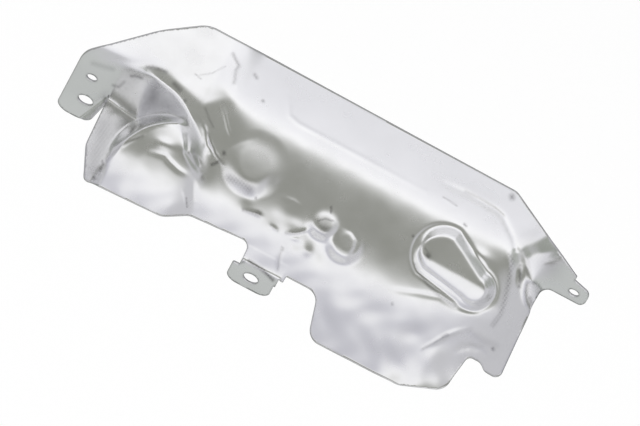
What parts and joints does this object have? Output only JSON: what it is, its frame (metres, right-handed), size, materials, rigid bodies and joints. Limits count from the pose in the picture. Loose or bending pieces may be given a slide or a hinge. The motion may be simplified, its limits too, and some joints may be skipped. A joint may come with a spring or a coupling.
{
  "type": "camshaft cover heat shield",
  "caption": "Pressed aluminium heat shield: a shallow trough with a wide flange, raised ends, clearance pockets, a flat ear, a bent tab and an end tab with bolt holes.",
  "frame": {"origin": "centre of the bolt hole in the middle tab, on the tab's face that the hollow side of the trough looks out of", "axes": "+Z is the direction of all the bolts, out of the hollow side; +X runs along the shield, from the end tab towards the ear; +Y points away from the trough's opening, from the flange towards the ear's free end"},
  "size_m": [0.2807, 0.0957, 0.1033],
  "materials": {
    "aluminium_sheet": "bright pressed sheet with soft handling wrinkles and scuffs"
  },
  "bodies": {
    "root": {"heat_shield": "aluminium_sheet"}
  },
  "joints": []
}
